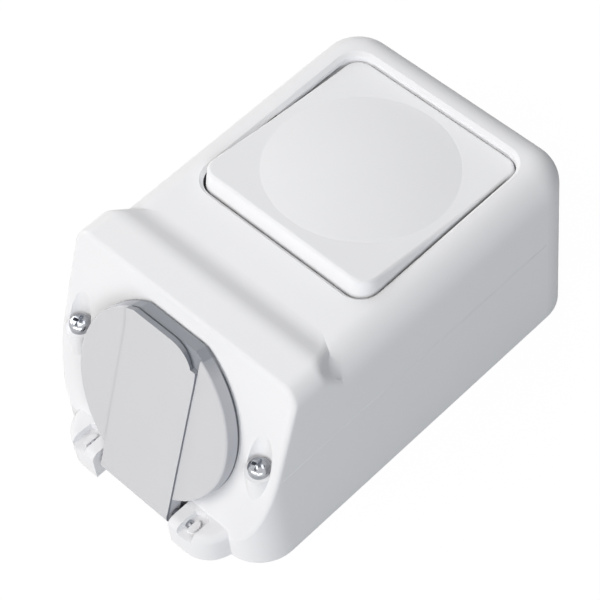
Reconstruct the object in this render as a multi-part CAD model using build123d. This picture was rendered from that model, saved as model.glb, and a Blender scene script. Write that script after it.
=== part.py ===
from build123d import *
import os
from math import copysign, cos, radians, sin, tan

# Surface-mounted rocker switch and earthed two-pin socket in one hood-shaped housing.
# Millimetres. The back lies on the wall plane z = 0, +Z points away from the wall, the socket
# end is towards -Y and the origin is the centre of the back.

# Housing
BODY_WIDTH = 72.0
BODY_LENGTH = 110.6
BODY_HEIGHT = 51.5
PLAN_RADIUS = 10.5
WALL = 2.5
EDGE_RADIUS = 7.5

# Socket half: tilted face, hump above it, riser between the hump and the switch, and the
# facets that cut the back corners of the hump off
FACE_TILT = 21.2
FACE_FOOT = 7.16
FACE_EDGE = 1.2
HUMP_RISE = 3.2
HUMP_LENGTH = 9.26
HUMP_SIDE_RADIUS = 4.5
HUMP_EDGE = 3.0
RISER_RUN = 6.0
RISER_RADIUS = 8.0
FACET_INSET = 5.0
FACET_BACK = 1.8
FACET_NORMAL = (0.64, 0.56, 0.53)

# Plug well and the sleeve that lines it
WELL_BELOW_MIDDLE = 0.9345
WELL_RADIUS = 19.75
WELL_DEPTH = 17.5
SLEEVE_WALL = 1.8
SLEEVE_GAP = 0.1
INSERT_CLEARANCE = 0.25

# Cover screws and their seats
SCREW_INSET = 5.95
SCREW_Y = 9.25
SEAT_HEIGHT = 30.0
SEAT_RADIUS = 3.5
SEAT_WALL = 1.3
BOSS_BOTTOM = 15.5
SCREW_HEAD_RADIUS = 2.6
SCREW_HEAD_HEIGHT = 2.1
SCREW_SHANK_RADIUS = 1.75
SCREW_LENGTH = 24.0
SCREW_CLEARANCE = 0.2
SCREW_TURN = 20.0
RECESS_SPAN = 3.3
RECESS_WIDTH = 0.9

# Lid
LID_RADIUS = 24.2
LID_LIFT = 0.8
LID_FRONT = 4.75
LID_CHORD = 22.4
LID_EDGE = 0.6
LID_SKIN = 1.8
STRIP_WIDTH = 22.8
STRIP_FRONT = 5.4
LIP_END = 22.8
LIP_WIDTH = 20.4
LIP_CORNER = 7.0
LIP_NOTCH = 4.8
LIP_FRONT = 6.5
LIP_THICKNESS = 1.5
LIP_REACH = 9.0
SLIT_HEIGHT = 0.9
SLIT_REACH = 4.8
SEAL_RADIUS = 20.9
SEAL_WIDTH = 1.5
SEAL_SEAT = 2.2
SEAL_GAP = 0.12

# Hinge
HINGE_DROP = 26.2
HINGE_STAND = 2.7
BARREL_RADIUS = 2.8
PIN_RADIUS = 1.1
PIN_CLEARANCE = 0.06
PIN_LENGTH = 34.8
EAR_INNER = 13.0
EAR_OUTER = 26.4
EAR_REACH = 3.8
EAR_ABOVE = 2.5
EAR_BOTTOM = 0.4
EAR_FLAT = 0.91
EAR_EDGE = 2.0
POCKET_X = 16.0
POCKET_WIDTH = 4.5
POCKET_BACK = 2.6
POCKET_FLOOR = 0.2
LEDGE_RADIUS = 1.9
LEDGE_HEIGHT = 0.9
NOTCH_WIDTH = 25.0
NOTCH_BOTTOM = 3.2
NOTCH_TOP = 8.6
LID_SPRING_WIRE = 0.6
LID_SPRING_TURNS = 5
LID_SPRING_RADIUS = 1.75

# Base plate, its edge seal and the wall fixing holes
BASE_THICKNESS = 2.6
BASE_CLEARANCE = 0.15
GROOVE_DEPTH = 0.9
GROOVE_BOTTOM = 0.8
GROOVE_HEIGHT = 1.0
POST_RADIUS = 3.0
FIX_RADIUS = 2.3
FIX_SPACING_X = 48.0
FIX_SPACING_Y = 54.0
HOOK_WIDTH = 8.0
HOOK_SPREAD = 40.0
HOOK_HEIGHT = 8.0
HOOK_THICKNESS = 2.0
HOOK_BITE = 1.3

# Cable grommet in the far end wall
CABLE_HEIGHT = 13.0
CABLE_RADIUS = 4.0
GROMMET_NECK = 7.0
GROMMET_FLANGE = 8.6
GROMMET_RECESS = 1.0
GROMMET_NOSE = 4.0

# Socket insert
BLOCK_RADIUS = 20.4
BLOCK_THICKNESS = 6.3
PIN_SPACING = 19.0
PIN_HOLE_RADIUS = 2.6
CHAMBER_SIZE = 10.6
CHAMBER_WALL = 1.3
CHAMBER_DEPTH = 12.5
CONTACT_SHEET = 0.8
CONTACT_GAP = 4.7
CONTACT_WIDTH = 7.0
LUG_LENGTH = 7.0
SOCKET_SCREW_LENGTH = 5.0
EARTH_WIDTH = 6.0
EARTH_SHEET = 1.0
EARTH_RADIUS = 18.4
EARTH_BULGE = 1.5
EARTH_TOP = 7.0

# Rocker and its opening
OPENING = 55.0
OPENING_MARGIN = 8.5
OPENING_RADIUS = 5.5
OPENING_FLARE = 0.9
ROCKER_GAP = 0.4
ROCKER_DRAFT = 5.5
ROCKER_RADIUS = 4.8
ROCKER_SKIRT = 5.2
ROCKER_RISE = 0.85
ROCKER_HOLLOW = 490.0
ROCKER_SKIN = 2.0
ROCKER_EDGE = 0.8
ROCKER_TILT = 6.2
DOME_RADIUS = 23.6
DOME_HEIGHT = 2.0

# Rocker pivot, cradle and plunger
PIVOT_DEPTH = 6.0
HUB_RADIUS = 3.4
HUB_HALF = 18.8
TRUNNION_RADIUS = 1.5
TRUNNION_LENGTH = 2.8
TRUNNION_CLEARANCE = 0.05
CRADLE_SIZE = 36.0
CRADLE_PLATE = 1.6
GUIDE_RADIUS = 3.8
GUIDE_BORE = 2.3
GUIDE_LENGTH = 9.5
PLUNGER_CLEARANCE = 0.08
PLUNGER_LENGTH = 11.0
PLUNGER_REACH = 16.35
PLUNGER_WIRE = 0.5
PLUNGER_TURNS = 4

# Switch base and contacts
SWITCH_SIZE = 44.0
SWITCH_BOTTOM = 14.0
SWITCH_TOP = 38.0
SWITCH_WALL = 2.0
SWITCH_FLOOR = 2.5
SWITCH_RADIUS = 2.0
SWITCH_SCREW_LENGTH = 10.0
BEARING_WALL = 3.0
BEARING_LENGTH = 10.0
BEARING_GAP = 0.3
SEESAW_LENGTH = 30.0
SEESAW_WIDTH = 8.0
SEESAW_SHEET = 1.0
SEESAW_GAP = 0.15
KNIFE_GAP = 0.15
BUTTON_RADIUS = 1.8
BUTTON_HEIGHT = 0.6
BUTTON_ARM = 13.0
TERMINAL_SIZE = 7.0
TERMINAL_SCREW_RADIUS = 1.6
TERMINAL_HEAD_RADIUS = 2.8
TERMINAL_HEAD_HEIGHT = 2.0
SWITCH_SCREW_OFFSET = 15.5

# Places worked out from the driving dimensions
FRONT_Y = -BODY_LENGTH / 2
BACK_Y = BODY_LENGTH / 2
TILT = radians(FACE_TILT)
HUMP_TOP = BODY_HEIGHT + HUMP_RISE
FACE_TOP_Y = FRONT_Y + (HUMP_TOP - FACE_FOOT) * tan(TILT)
FACE_LENGTH = (HUMP_TOP - FACE_FOOT) / cos(TILT)
HUMP_BACK_Y = FACE_TOP_Y + HUMP_LENGTH
RISER_FOOT_Y = HUMP_BACK_Y + RISER_RUN
UP_SLOPE = Vector(0, sin(TILT), cos(TILT))
OUT_OF_FACE = Vector(0, -cos(TILT), sin(TILT))
WELL_CENTRE = Vector(0, FRONT_Y, FACE_FOOT) + UP_SLOPE * (FACE_LENGTH / 2 - WELL_BELOW_MIDDLE)
PIN_CENTRE = WELL_CENTRE - UP_SLOPE * HINGE_DROP + OUT_OF_FACE * HINGE_STAND
SCREW_AXIS_Y = FRONT_Y + SCREW_Y
SCREW_SPREAD = BODY_WIDTH - 2 * SCREW_INSET
OPENING_Y = BACK_Y - OPENING_MARGIN - OPENING / 2
PIVOT_Z = BODY_HEIGHT - PIVOT_DEPTH
ROCKER_WIDTH = OPENING - 2 * ROCKER_GAP
SEESAW_Z = PIVOT_Z - PLUNGER_REACH - SEESAW_GAP
KNIFE_Z = SEESAW_Z - SEESAW_SHEET
SWITCH_FLOOR_Z = SWITCH_BOTTOM + SWITCH_FLOOR
BLOCK_BACK = -WELL_DEPTH - BLOCK_THICKNESS
CHAMBER_BACK = BLOCK_BACK - CHAMBER_DEPTH

# Frames: on the tilted face (x across, y up the slope, z out of the face), in its cross
# section (x up the slope, y out of the face), and at the rocker pivot
FACE = Plane(origin=WELL_CENTRE, x_dir=(1, 0, 0), z_dir=OUT_OF_FACE)
SECTION = Plane(origin=WELL_CENTRE, x_dir=UP_SLOPE, z_dir=(1, 0, 0))
PIVOT = Pos(0, OPENING_Y, PIVOT_Z)
ROCKED = PIVOT * Rot(-ROCKER_TILT, 0, 0)
SEESAW = Pos(0, OPENING_Y, KNIFE_Z) * Rot(ROCKER_TILT, 0, 0)

UPRIGHT = (Align.CENTER, Align.CENTER, Align.MIN)
HANGING = (Align.CENTER, Align.CENTER, Align.MAX)
ACROSS = Rot(0, 90, 0)


def rounded_prism(width, length, radius, bottom, top, y=0.0):
    """Upright prism on a rounded rectangle."""
    plan = Pos(0, y, bottom) * RectangleRounded(width, length, radius)
    return extrude(plan, top - bottom)


def cylinder_between(radius, bottom, top):
    """Cylinder on the local z axis from bottom to top."""
    return Pos(0, 0, bottom) * Cylinder(radius, top - bottom, align=UPRIGHT)


def ring(outer, inner, bottom, top):
    """Round ring on the local z axis."""
    return cylinder_between(outer, bottom, top) - cylinder_between(inner, bottom, top)


def mirrored(solid):
    """A solid together with its mirror image across the middle plane x = 0."""
    return [solid, mirror(solid, Plane.YZ)]


def coil(wire, mean_radius, turns, height):
    """Spring of round wire along the local z axis."""
    path = Helix(height / turns, height, mean_radius)
    section = Plane(origin=path @ 0, z_dir=path % 0) * Circle(wire / 2)
    return sweep(section, path=path)


# Housing

def plan_at(inset, bottom, top):
    """Prism on the plan of the housing drawn in by an inset."""
    return rounded_prism(
        BODY_WIDTH - 2 * inset, BODY_LENGTH - 2 * inset, PLAN_RADIUS - inset, bottom, top
    )


def side_outline(inset, foot_z):
    """Outline of the housing in its middle plane, drawn in by an inset."""
    outline = Polygon(
        (FRONT_Y, foot_z),
        (FRONT_Y, FACE_FOOT),
        (FACE_TOP_Y, HUMP_TOP),
        (HUMP_BACK_Y, HUMP_TOP),
        (RISER_FOOT_Y, BODY_HEIGHT),
        (BACK_Y, BODY_HEIGHT),
        (BACK_Y, foot_z),
        align=None,
    )
    if inset:
        outline = offset(outline, -inset, kind=Kind.INTERSECTION)
    foot = outline.vertices().sort_by_distance((RISER_FOOT_Y, BODY_HEIGHT - inset, 0))[0]
    outline = fillet(foot, RISER_RADIUS + inset)
    crest = outline.vertices().sort_by_distance((HUMP_BACK_Y, HUMP_TOP - inset, 0))[0]
    return fillet(crest, RISER_RADIUS - inset)


def half_space(y, side):
    """Large box in front of (MAX) or behind (MIN) an upright plane across the housing."""
    size = 4 * BODY_LENGTH
    return Pos(0, y, 0) * Box(size, size, size, align=(Align.CENTER, side, Align.CENTER))


def hump_block(inset, foot_z):
    """Socket half of the housing form with the tilted face, the hump and the riser."""
    slab = extrude(Plane.YZ * side_outline(inset, foot_z), BODY_WIDTH / 2 - inset, both=True)
    block = slab & plan_at(inset, foot_z, HUMP_TOP)
    block -= half_space(RISER_FOOT_Y + RISER_RADIUS / 2, Align.MIN)
    sides = block.edges().filter_by(Axis.Y).group_by(Axis.Z)[-1]
    return fillet(sides, HUMP_SIDE_RADIUS - inset)


def corner_facets(inset):
    """Tools that cut the back corners of the hump off at a slant."""
    corner = Vector(BODY_WIDTH / 2 - FACET_INSET, HUMP_BACK_Y + FACET_BACK, HUMP_TOP)
    normal = Vector(*FACET_NORMAL).normalized()
    plane = Plane(origin=corner - normal * inset, z_dir=normal)
    return mirrored(plane * Box(BODY_LENGTH, BODY_LENGTH, BODY_LENGTH, align=UPRIGHT))


def switch_block(inset, foot_z):
    """Switch half of the housing form with rounded top edges."""
    block = plan_at(inset, foot_z, BODY_HEIGHT - inset) - half_space(HUMP_BACK_Y, Align.MAX)
    rim = block.edges().group_by(Axis.Z)[-1].filter_by(
        lambda edge: edge.center().Y > HUMP_BACK_Y + WALL
    )
    return fillet(rim, EDGE_RADIUS - inset)


def inner_form():
    """Hollow of the housing."""
    return hump_block(WALL, -2 * WALL) - corner_facets(WALL) + switch_block(WALL, -2 * WALL)


def outer_form():
    """Outside of the housing with the edges of its corner facets and of its face softened."""
    hump = hump_block(0, 0) - corner_facets(0)
    slant = Vector(*FACET_NORMAL).normalized()
    facets = hump.faces().filter_by(
        lambda side: (side.normal_at() - Vector(copysign(slant.X, side.center().X), slant.Y, slant.Z)).length < 0.01
    )
    rims = facets.edges().filter_by(lambda edge: (edge @ 0.5).Z > BODY_HEIGHT - HUMP_EDGE)
    block = fillet(rims, HUMP_EDGE) + switch_block(0, 0)
    face = block.faces().filter_by(
        lambda side: (side.normal_at() - OUT_OF_FACE).length < 0.001
    )[0]
    return fillet(face.edges(), FACE_EDGE)


def ears():
    """Two hinge ears in front of the foot of the tilted face."""
    front = PIN_CENTRE.Y - EAR_REACH
    top = PIN_CENTRE.Z + EAR_ABOVE
    block = Pos(EAR_INNER, front, EAR_BOTTOM) * Box(
        EAR_OUTER - EAR_INNER,
        FRONT_Y + WALL - front,
        top - EAR_BOTTOM,
        align=(Align.MIN, Align.MIN, Align.MIN),
    )
    corner = block.edges().filter_by(Axis.Z).group_by(Axis.Y)[0].sort_by(Axis.X)[-1]
    block = fillet(corner, FRONT_Y + WALL - front - EAR_FLAT)
    front_rim = block.edges().group_by(Axis.Z)[-1].sort_by(Axis.Y)[:2]
    return mirrored(fillet(front_rim, EAR_EDGE))


def ear_pockets():
    """House-shaped pockets in the ears that bare the pin ends, with a half-round ledge."""
    floor = PIN_CENTRE.Z + POCKET_FLOOR
    front = PIN_CENTRE.Y - 2 * EAR_REACH
    back = PIN_CENTRE.Y + POCKET_BACK
    outline = Polygon(
        (POCKET_X, front),
        (POCKET_X + POCKET_WIDTH, front),
        (POCKET_X + POCKET_WIDTH, back),
        (POCKET_X + POCKET_WIDTH / 2, back + 0.3 * POCKET_WIDTH),
        (POCKET_X, back),
        align=None,
    )
    pocket = extrude(Pos(0, 0, floor) * outline, 2 * EAR_ABOVE)
    ledge = Pos(PIN_LENGTH / 2, PIN_CENTRE.Y, floor) * (
        Cylinder(LEDGE_RADIUS, 2 * LEDGE_HEIGHT) - Box(
            2 * LEDGE_RADIUS, 2 * LEDGE_RADIUS, 3 * LEDGE_HEIGHT, align=(Align.MAX, Align.CENTER, Align.CENTER)
        )
    )
    return mirrored(pocket - ledge)


def hinge_notch():
    """Notch in the front wall behind the hinge barrel."""
    return Pos(0, FRONT_Y, NOTCH_BOTTOM) * Box(
        NOTCH_WIDTH, 6 * WALL, NOTCH_TOP - NOTCH_BOTTOM, align=UPRIGHT
    )


def opening_tool():
    """Square rocker opening with a flared rim."""
    wide = OPENING + 4 * OPENING_FLARE
    rim = BODY_HEIGHT - OPENING_FLARE
    through = rounded_prism(
        OPENING, OPENING, OPENING_RADIUS, BODY_HEIGHT - EDGE_RADIUS, BODY_HEIGHT + WALL, OPENING_Y
    )
    flare = loft([
        Pos(0, OPENING_Y, rim) * RectangleRounded(OPENING, OPENING, OPENING_RADIUS),
        Pos(0, OPENING_Y, rim + 2 * OPENING_FLARE)
        * RectangleRounded(wide, wide, OPENING_RADIUS + 2 * OPENING_FLARE),
    ])
    return through + flare


def hook_slots():
    """Recesses inside the far wall that take the hooks of the base plate."""
    slot = Pos(HOOK_SPREAD / 2, BACK_Y - WALL, HOOK_HEIGHT) * Box(
        HOOK_WIDTH + 0.6,
        2 * (HOOK_BITE + 0.3),
        HOOK_THICKNESS + 0.4,
    )
    return mirrored(slot)


def cable_hole():
    """Stepped hole in the far wall for the grommet."""
    end = Plane(origin=(0, BACK_Y, CABLE_HEIGHT), x_dir=(1, 0, 0), z_dir=(0, 1, 0))
    hole = cylinder_between(GROMMET_NECK, -2 * WALL, WALL)
    recess = cylinder_between(GROMMET_FLANGE, -GROMMET_RECESS, WALL)
    return end * (hole + recess)


def front_cover():
    """Hood moulding: housing, rocker frame, socket face, screw seats and hinge ears."""
    outer = outer_form() + ears()
    bosses = []
    backs = []
    grooves = []
    bores = []
    for x in (-SCREW_SPREAD / 2, SCREW_SPREAD / 2):
        at = Pos(x, SCREW_AXIS_Y, 0)
        bosses.append(at * cylinder_between(SEAT_RADIUS, BOSS_BOTTOM, SEAT_HEIGHT))
        backs.append(at * cylinder_between(SEAT_RADIUS + SEAT_WALL, BOSS_BOTTOM, BODY_HEIGHT) & outer)
        grooves.append(at * cylinder_between(SEAT_RADIUS, SEAT_HEIGHT, BODY_HEIGHT))
        bores.append(at * cylinder_between(SCREW_SHANK_RADIUS + SCREW_CLEARANCE, 0, SEAT_HEIGHT))
    cover = outer - inner_form() + backs + bosses
    mouth = FACE * cylinder_between(WELL_RADIUS, -2 * WALL, WALL)
    pin_bore = Pos(PIN_CENTRE) * ACROSS * Cylinder(PIN_RADIUS, PIN_LENGTH)
    return cover - mouth - grooves - bores - opening_tool() - cable_hole() - hook_slots() \
        - ear_pockets() - hinge_notch() - pin_bore


# Base plate and what it carries

def switch_posts():
    """Places of the two posts and screws that carry the switch base."""
    return [Pos(x, OPENING_Y, 0) for x in (-SWITCH_SCREW_OFFSET, SWITCH_SCREW_OFFSET)]


def insert_room():
    """Room that the sleeve, the earth strap and the terminal screws need in a low housing."""
    sleeve = cylinder_between(
        WELL_RADIUS + SLEEVE_WALL + INSERT_CLEARANCE, -WELL_DEPTH - INSERT_CLEARANCE, 0
    )
    strap = Pos(0, 0, BLOCK_BACK - EARTH_SHEET - INSERT_CLEARANCE) * Box(
        EARTH_WIDTH + 2 * INSERT_CLEARANCE,
        2 * (EARTH_RADIUS + EARTH_SHEET + INSERT_CLEARANCE),
        BLOCK_THICKNESS,
        align=UPRIGHT,
    )
    lugs = Pos(0, 0, CHAMBER_BACK + INSERT_CLEARANCE) * Box(
        PIN_SPACING + CHAMBER_SIZE + 2 * INSERT_CLEARANCE,
        CHAMBER_SIZE + 2 * LUG_LENGTH + 2 * INSERT_CLEARANCE,
        CONTACT_SHEET + TERMINAL_HEAD_HEIGHT + 2 * INSERT_CLEARANCE,
        align=HANGING,
    )
    return [FACE * sleeve, FACE * strap, FACE * lugs]


def base_plate():
    """Flat back with the posts, the hooks, the edge groove and the wall fixing holes."""
    plate = plan_at(WALL + BASE_CLEARANCE, 0, BASE_THICKNESS)
    groove = plan_at(WALL, GROOVE_BOTTOM, GROOVE_BOTTOM + GROOVE_HEIGHT) - plan_at(
        WALL + BASE_CLEARANCE + GROOVE_DEPTH, GROOVE_BOTTOM, GROOVE_BOTTOM + GROOVE_HEIGHT
    )
    solid = plate
    for x in (-SCREW_SPREAD / 2, SCREW_SPREAD / 2):
        post = Pos(x, SCREW_AXIS_Y, 0)
        solid += post * cylinder_between(POST_RADIUS, 0, BOSS_BOTTOM)
        solid -= post * cylinder_between(
            SCREW_SHANK_RADIUS, SEAT_HEIGHT - SCREW_LENGTH - 1, BOSS_BOTTOM
        )
    for post in switch_posts():
        solid += post * cylinder_between(POST_RADIUS + 1, 0, SWITCH_BOTTOM)
        solid -= post * cylinder_between(TERMINAL_SCREW_RADIUS, BASE_THICKNESS, SWITCH_BOTTOM)
    wall_y = BACK_Y - WALL - BASE_CLEARANCE
    for x in (-HOOK_SPREAD / 2, HOOK_SPREAD / 2):
        stem = Pos(x, wall_y, 0) * Box(
            HOOK_WIDTH,
            HOOK_THICKNESS,
            HOOK_HEIGHT + HOOK_THICKNESS / 2,
            align=(Align.CENTER, Align.MAX, Align.MIN),
        )
        nose = Pos(x, wall_y + HOOK_BITE, HOOK_HEIGHT) * Box(
            HOOK_WIDTH,
            HOOK_BITE + HOOK_THICKNESS,
            HOOK_THICKNESS,
            align=(Align.CENTER, Align.MAX, Align.CENTER),
        )
        solid += [stem, nose]
    holes = GridLocations(FIX_SPACING_X, FIX_SPACING_Y, 2, 2)
    bores = [
        Pos(0, OPENING_Y, 0) * place * cylinder_between(FIX_RADIUS, -1, BASE_THICKNESS + 1)
        for place in holes
    ]
    return solid - groove - bores - insert_room()


def cover_gasket():
    """Edge seal in the groove of the base plate."""
    top = GROOVE_BOTTOM + GROOVE_HEIGHT
    return plan_at(WALL, GROOVE_BOTTOM, top) - plan_at(
        WALL + BASE_CLEARANCE + GROOVE_DEPTH, GROOVE_BOTTOM, top
    )


def cross_recess(depth):
    """Cross-shaped driver recess below the local origin."""
    return Box(RECESS_SPAN, RECESS_WIDTH, 2 * depth) + Box(RECESS_WIDTH, RECESS_SPAN, 2 * depth)


def pan_screw(head_radius, head_height, shank_radius, length):
    """Cross-recess screw hanging from its head seat at the local origin."""
    head = cylinder_between(head_radius, 0, head_height)
    head = fillet(head.edges().group_by(Axis.Z)[-1], 0.45 * head_height)
    shank = cylinder_between(shank_radius, -length, 0)
    shank = chamfer(shank.edges().group_by(Axis.Z)[0], 0.4 * shank_radius)
    return head + shank - Pos(0, 0, head_height) * cross_recess(0.7 * head_height)


def cover_screws():
    """The two screws that hold the cover."""
    screw = pan_screw(SCREW_HEAD_RADIUS, SCREW_HEAD_HEIGHT, SCREW_SHANK_RADIUS, SCREW_LENGTH)
    return [
        Pos(x, SCREW_AXIS_Y, SEAT_HEIGHT) * Rot(0, 0, SCREW_TURN) * screw
        for x in (-SCREW_SPREAD / 2, SCREW_SPREAD / 2)
    ]


def cable_grommet():
    """Rubber grommet that lines the cable hole."""
    end = Plane(origin=(0, BACK_Y, CABLE_HEIGHT), x_dir=(1, 0, 0), z_dir=(0, 1, 0))
    flange = cylinder_between(GROMMET_FLANGE, -GROMMET_RECESS, 0)
    neck = cylinder_between(GROMMET_NECK, -WALL, -GROMMET_RECESS)
    bead = cylinder_between(GROMMET_FLANGE, -WALL - GROMMET_RECESS, -WALL)
    nose = Pos(0, 0, -WALL - GROMMET_RECESS) * Rot(180, 0, 0) * Cone(
        GROMMET_NECK, CABLE_RADIUS + 1, GROMMET_NOSE, align=UPRIGHT
    )
    bore = cylinder_between(CABLE_RADIUS, -3 * WALL, WALL)
    return end * (flange + neck + bead + nose - bore)


# Socket insert

def contact_places():
    """Frames on the tilted face at the two pin holes."""
    return [FACE * Pos(x, 0, 0) for x in (-PIN_SPACING / 2, PIN_SPACING / 2)]


def contact_block():
    """Moulded insert that closes the well, with pin holes and contact chambers."""
    block = FACE * cylinder_between(BLOCK_RADIUS, BLOCK_BACK, -WELL_DEPTH)
    for place in contact_places():
        chamber = Pos(0, 0, CHAMBER_BACK) * Box(
            CHAMBER_SIZE, CHAMBER_SIZE, CHAMBER_DEPTH, align=UPRIGHT
        )
        block += place * chamber
    for place in contact_places():
        room = CHAMBER_SIZE - 2 * CHAMBER_WALL
        block -= place * Pos(0, 0, CHAMBER_BACK) * Box(room, room, CHAMBER_DEPTH, align=UPRIGHT)
        block -= place * cylinder_between(PIN_HOLE_RADIUS, BLOCK_BACK, -WELL_DEPTH)
    slot = Box(EARTH_WIDTH + 0.4, EARTH_SHEET + 0.4, 2 * BLOCK_THICKNESS)
    for side in (-1, 1):
        block -= FACE * Pos(0, side * (EARTH_RADIUS + EARTH_SHEET / 2), BLOCK_BACK) * slot
    below = Pos(0, 0, BASE_THICKNESS) * Box(2 * BODY_WIDTH, 2 * BODY_LENGTH, BODY_HEIGHT, align=HANGING)
    return block - below


def well_sleeve():
    """Insulating sleeve that lines the plug well between the face and the insert."""
    return FACE * ring(WELL_RADIUS + SLEEVE_WALL, WELL_RADIUS, -WELL_DEPTH, -WALL - SLEEVE_GAP)


def plug_contact(place):
    """Sprung fork that grips a plug pin, with its terminal lug."""
    arm_x = CONTACT_GAP / 2 + CONTACT_SHEET / 2
    arm_length = CHAMBER_DEPTH - 1
    web = Pos(0, 0, CHAMBER_BACK) * Box(CHAMBER_SIZE, CHAMBER_SIZE, CONTACT_SHEET, align=HANGING)
    lug = Pos(0, -CHAMBER_SIZE / 2, CHAMBER_BACK) * Box(
        CHAMBER_SIZE, LUG_LENGTH, CONTACT_SHEET, align=(Align.CENTER, Align.MAX, Align.MAX)
    )
    arms = [
        Pos(side * arm_x, 0, CHAMBER_BACK) * Box(CONTACT_SHEET, CONTACT_WIDTH, arm_length, align=UPRIGHT)
        for side in (-1, 1)
    ]
    hole = Pos(0, -CHAMBER_SIZE / 2 - LUG_LENGTH / 2, CHAMBER_BACK) * Cylinder(
        TERMINAL_SCREW_RADIUS, 4 * CONTACT_SHEET
    )
    return place * (web + lug + arms - hole)


def socket_terminal_screws():
    """Terminal screws in the lugs of the plug contacts."""
    screw = Rot(180, 0, 0) * pan_screw(
        TERMINAL_HEAD_RADIUS, TERMINAL_HEAD_HEIGHT, TERMINAL_SCREW_RADIUS, SOCKET_SCREW_LENGTH
    )
    seat = Pos(0, -CHAMBER_SIZE / 2 - LUG_LENGTH / 2, CHAMBER_BACK - CONTACT_SHEET)
    return [place * seat * screw for place in contact_places()]


def earth_strap():
    """Strap behind the insert with two sprung clips that stand in the well."""
    low = BLOCK_BACK - EARTH_SHEET
    bar = Pos(0, 0, low) * Box(
        EARTH_WIDTH, 2 * (EARTH_RADIUS + EARTH_SHEET), EARTH_SHEET, align=UPRIGHT
    )
    clip = Polygon(
        (EARTH_RADIUS, low),
        (EARTH_RADIUS + EARTH_SHEET, low),
        (EARTH_RADIUS + EARTH_SHEET, -WELL_DEPTH),
        (EARTH_RADIUS + EARTH_SHEET - EARTH_BULGE, -WELL_DEPTH / 2 - EARTH_TOP / 2),
        (EARTH_RADIUS + EARTH_SHEET, -EARTH_TOP),
        (EARTH_RADIUS, -EARTH_TOP),
        (EARTH_RADIUS - EARTH_BULGE, -WELL_DEPTH / 2 - EARTH_TOP / 2),
        (EARTH_RADIUS, -WELL_DEPTH),
        align=None,
    )
    strip = extrude(SECTION * clip, EARTH_WIDTH / 2, both=True)
    other = FACE * Rot(0, 0, 180) * FACE.to_local_coords(strip)
    return FACE * bar + strip + other


# Switch

def switch_base():
    """Insulating tub with two bearing lugs for the rocker."""
    tub = rounded_prism(SWITCH_SIZE, SWITCH_SIZE, SWITCH_RADIUS, SWITCH_BOTTOM, SWITCH_TOP, OPENING_Y)
    room = SWITCH_SIZE - 2 * SWITCH_WALL
    tub -= rounded_prism(room, room, SWITCH_RADIUS / 2, SWITCH_FLOOR_Z, SWITCH_TOP + 1, OPENING_Y)
    inner = HUB_HALF + BEARING_GAP
    top = PIVOT_Z + TRUNNION_RADIUS + 1.5
    lug = Pos(inner, OPENING_Y, SWITCH_FLOOR_Z) * Box(
        BEARING_WALL, BEARING_LENGTH, top - SWITCH_FLOOR_Z, align=(Align.MIN, Align.CENTER, Align.MIN)
    )
    tub += mirrored(lug)
    tub -= PIVOT * ACROSS * Cylinder(TRUNNION_RADIUS + TRUNNION_CLEARANCE, 2 * SWITCH_SIZE)
    return tub - [
        post * cylinder_between(TERMINAL_SCREW_RADIUS, SWITCH_BOTTOM, SWITCH_FLOOR_Z)
        for post in switch_posts()
    ]


def switch_screws():
    """Screws that fix the switch base to the posts of the base plate."""
    screw = pan_screw(
        TERMINAL_HEAD_RADIUS, TERMINAL_HEAD_HEIGHT, TERMINAL_SCREW_RADIUS, SWITCH_SCREW_LENGTH
    )
    return [post * Pos(0, 0, SWITCH_FLOOR_Z) * screw for post in switch_posts()]


def feed_contact():
    """Strip with a knife edge that carries the see-saw, and its terminal lug."""
    height = KNIFE_Z - KNIFE_GAP - SWITCH_FLOOR_Z
    foot = Pos(0, OPENING_Y, SWITCH_FLOOR_Z) * Box(
        SEESAW_WIDTH, SWITCH_SIZE / 2 - SWITCH_WALL, SEESAW_SHEET, align=(Align.CENTER, Align.MIN, Align.MIN)
    )
    knife = Pos(0, OPENING_Y, SWITCH_FLOOR_Z) * Box(
        SEESAW_WIDTH, SEESAW_SHEET, height, align=UPRIGHT
    )
    return foot + knife - feed_terminal() * Cylinder(TERMINAL_SCREW_RADIUS, 4 * SEESAW_SHEET)


def load_contact():
    """Strip with a contact button under the front end of the see-saw, and its terminal lug."""
    drop = (BUTTON_ARM + BUTTON_RADIUS) * sin(radians(ROCKER_TILT))
    top = KNIFE_Z - drop - BUTTON_HEIGHT - KNIFE_GAP
    bracket_y = OPENING_Y - BUTTON_ARM
    end_y = OPENING_Y - SWITCH_SIZE / 2 + SWITCH_WALL
    foot = Pos(0, end_y, SWITCH_FLOOR_Z) * Box(
        SEESAW_WIDTH, bracket_y - end_y, SEESAW_SHEET, align=(Align.CENTER, Align.MIN, Align.MIN)
    )
    stem = Pos(0, bracket_y, SWITCH_FLOOR_Z) * Box(
        SEESAW_WIDTH,
        SEESAW_SHEET,
        top - BUTTON_HEIGHT - SWITCH_FLOOR_Z,
        align=(Align.CENTER, Align.CENTER, Align.MIN),
    )
    shelf = Pos(0, bracket_y, top - BUTTON_HEIGHT) * Box(
        SEESAW_WIDTH, 2 * BUTTON_RADIUS, SEESAW_SHEET, align=HANGING
    )
    button = Pos(0, bracket_y, 0) * cylinder_between(BUTTON_RADIUS, top - BUTTON_HEIGHT, top)
    return foot + stem + shelf + button - load_terminal() * Cylinder(
        TERMINAL_SCREW_RADIUS, 4 * SEESAW_SHEET
    )


def feed_terminal():
    """Place of the feed terminal screw on the floor of the tub."""
    return Pos(0, OPENING_Y + SWITCH_SIZE / 2 - SWITCH_WALL - TERMINAL_SIZE / 2, SWITCH_FLOOR_Z)


def load_terminal():
    """Place of the load terminal screw on the floor of the tub."""
    return Pos(0, OPENING_Y - SWITCH_SIZE / 2 + SWITCH_WALL + TERMINAL_SIZE / 2, SWITCH_FLOOR_Z)


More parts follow.
